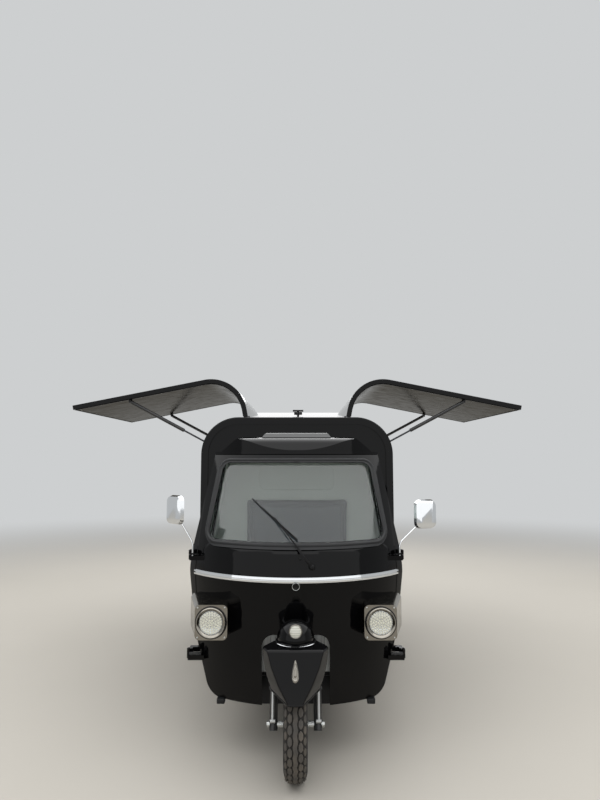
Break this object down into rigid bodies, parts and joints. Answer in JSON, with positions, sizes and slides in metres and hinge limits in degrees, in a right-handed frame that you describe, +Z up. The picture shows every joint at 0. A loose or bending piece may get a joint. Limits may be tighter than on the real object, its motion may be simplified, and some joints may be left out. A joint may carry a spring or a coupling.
{
  "type": "electric three-wheeled vending truck",
  "caption": "Electric three-wheeled vending truck with a rounded cab, a hooped kiosk body, two raised gull-wing sides and a raised rear hatch.",
  "frame": {"origin": "on the ground, under the middle of the whole vehicle as it stands with its sides and hatch raised", "axes": "the vehicle faces -Y, +X is its own left side, +Z is up"},
  "size_m": [3.103, 3.7591, 1.9998],
  "materials": {
    "black_paint": "gloss black enamel",
    "black_panel": "gloss black painted aluminium sheet with bright inner face",
    "chassis_black": "satin black",
    "chrome": "polished chrome",
    "silver_paint": "silver paint",
    "steel": "zinc plated steel",
    "glass": "clear glass",
    "lamp_lens": "clear moulded lens",
    "tail_lens": "red moulded lens",
    "seal_rubber": "dark rubber",
    "tyre": "worn tread",
    "rim_paint": "silver paint",
    "pale_lining": "pale grey lining",
    "seat_vinyl": "black vinyl",
    "black_plastic": "black moulded plastic",
    "floor_steel": "plain sheet",
    "counter_steel": "brushed stainless",
    "battery_case": "closed case"
  },
  "bodies": {
    "root": {"chassis_frame": "chassis_black", "cab_floor": "floor_steel", "cab_front": "black_paint", "windscreen": "glass", "windscreen_seal": "seal_rubber", "chrome_strip": "chrome", "cab_side_left": "black_paint", "cab_side_right": "black_paint", "cab_roof": "black_paint", "seat_base": "chassis_black", "bench_seat": "seat_vinyl", "cab_rear_lining": "pale_lining", "dash_shelf": "black_plastic", "headlamp_housings": "silver_paint", "headlamp_bezels": "chrome", "headlamp_lenses": "lamp_lens", "mirrors": "chrome", "wiper": "black_plastic", "kiosk_floor": "floor_steel", "kiosk_skirts": "black_paint", "rear_mudguards": "black_plastic", "kiosk_front": "black_paint", "kiosk_rear": "black_paint", "kiosk_roof": "black_panel", "serving_counters": "counter_steel", "tail_lamps": "tail_lens", "rear_bumper": "chassis_black", "rear_axle": "chassis_black", "battery_pack": "battery_case"},
    "steering": {"fork": "chassis_black", "front_axle": "steel", "front_mudguard": "black_paint", "mudguard_lamp": "black_paint"},
    "front_wheel": {"front_tyre": "tyre", "front_rim": "rim_paint"},
    "rear_wheel_left": {"rear_left_tyre": "tyre", "rear_left_rim": "rim_paint"},
    "rear_wheel_right": {"rear_right_tyre": "tyre", "rear_right_rim": "rim_paint"},
    "door_left": {"door_left": "black_paint", "door_glass_left": "glass"},
    "door_right": {"door_right": "black_paint", "door_glass_right": "glass"},
    "wing_left": {"wing_left": "black_panel"},
    "wing_right": {"wing_right": "black_panel"},
    "rear_hatch": {"rear_hatch": "black_panel"},
    "wing_left_tubes": {"wing_left_strut_tubes": "chassis_black"},
    "wing_left_rods": {"wing_left_strut_rods": "steel"},
    "wing_right_tubes": {"wing_right_strut_tubes": "chassis_black"},
    "wing_right_rods": {"wing_right_strut_rods": "steel"},
    "hatch_tubes": {"hatch_strut_tubes": "chassis_black"},
    "hatch_rods": {"hatch_strut_rods": "steel"}
  },
  "joints": [
    {"name": "steering", "type": "hinge", "parent": "root", "child": "steering", "pos_m": [0, -1.58291, 0.21802], "axis": [0, 0.3746, 0.9272], "range_deg": [-35, 35]},
    {"name": "front_wheel_spin", "type": "hinge", "parent": "steering", "child": "front_wheel", "pos_m": [0, -1.62, 0.233], "axis": [1, 0, 0], "continuous": true},
    {"name": "rear_wheel_left_spin", "type": "hinge", "parent": "root", "child": "rear_wheel_left", "pos_m": [0.52, 0.45, 0.233], "axis": [1, 0, 0], "continuous": true},
    {"name": "rear_wheel_right_spin", "type": "hinge", "parent": "root", "child": "rear_wheel_right", "pos_m": [-0.52, 0.45, 0.233], "axis": [1, 0, 0], "continuous": true},
    {"name": "door_left_hinge", "type": "hinge", "parent": "root", "child": "door_left", "pos_m": [0.553, -1.304, 0.5], "axis": [0, 0, -1], "range_deg": [0, 65]},
    {"name": "door_right_hinge", "type": "hinge", "parent": "root", "child": "door_right", "pos_m": [-0.553, -1.304, 0.5], "axis": [0, 0, 1], "range_deg": [0, 65]},
    {"name": "wing_left_hinge", "type": "hinge", "parent": "root", "child": "wing_left", "pos_m": [0.331, 0.33, 1.737], "axis": [0, 1, 0], "range_deg": [0, 78.8]},
    {"name": "wing_left_tubes_pivot", "type": "hinge", "parent": "wing_left", "child": "wing_left_tubes", "pos_m": [1.1633, 0.33, 1.84744], "axis": [0, 1, 0], "range_deg": [-0.5, 32.62]},
    {"name": "wing_left_rods_slide", "type": "slide", "parent": "wing_left_tubes", "child": "wing_left_rods", "axis": [-0.8825, 0, -0.4702], "range_m": [-0.14717, 0.002]},
    {"name": "wing_right_hinge", "type": "hinge", "parent": "root", "child": "wing_right", "pos_m": [-0.331, 0.33, 1.737], "axis": [0, -1, 0], "range_deg": [0, 78.8]},
    {"name": "wing_right_tubes_pivot", "type": "hinge", "parent": "wing_right", "child": "wing_right_tubes", "pos_m": [-1.1633, 0.33, 1.84744], "axis": [0, -1, 0], "range_deg": [-0.5, 32.62]},
    {"name": "wing_right_rods_slide", "type": "slide", "parent": "wing_right_tubes", "child": "wing_right_rods", "axis": [0.8825, 0, -0.4702], "range_m": [-0.14717, 0.002]},
    {"name": "rear_hatch_hinge", "type": "hinge", "parent": "root", "child": "rear_hatch", "pos_m": [0, 1.138, 1.702], "axis": [-1, 0, 0], "range_deg": [0, 106]},
    {"name": "hatch_tubes_pivot", "type": "hinge", "parent": "rear_hatch", "child": "hatch_tubes", "pos_m": [0, 1.31626, 1.73335], "axis": [-1, 0, 0], "range_deg": [-121.95, 0.5]},
    {"name": "hatch_rods_slide", "type": "slide", "parent": "hatch_tubes", "child": "hatch_rods", "axis": [0, -0.343, -0.9393], "range_m": [-0.25288, 0.002]}
  ],
  "couplings": [
    {"joint": "wing_left_tubes_pivot", "follows": "wing_left_hinge", "ratio": 0.40768},
    {"joint": "wing_left_rods_slide", "follows": "wing_left_hinge", "m_per_rad": -0.10555},
    {"joint": "wing_right_tubes_pivot", "follows": "wing_right_hinge", "ratio": 0.40768},
    {"joint": "wing_right_rods_slide", "follows": "wing_right_hinge", "m_per_rad": -0.10555},
    {"joint": "hatch_tubes_pivot", "follows": "rear_hatch_hinge", "ratio": -1.1458},
    {"joint": "hatch_rods_slide", "follows": "rear_hatch_hinge", "m_per_rad": -0.13561}
  ]
}
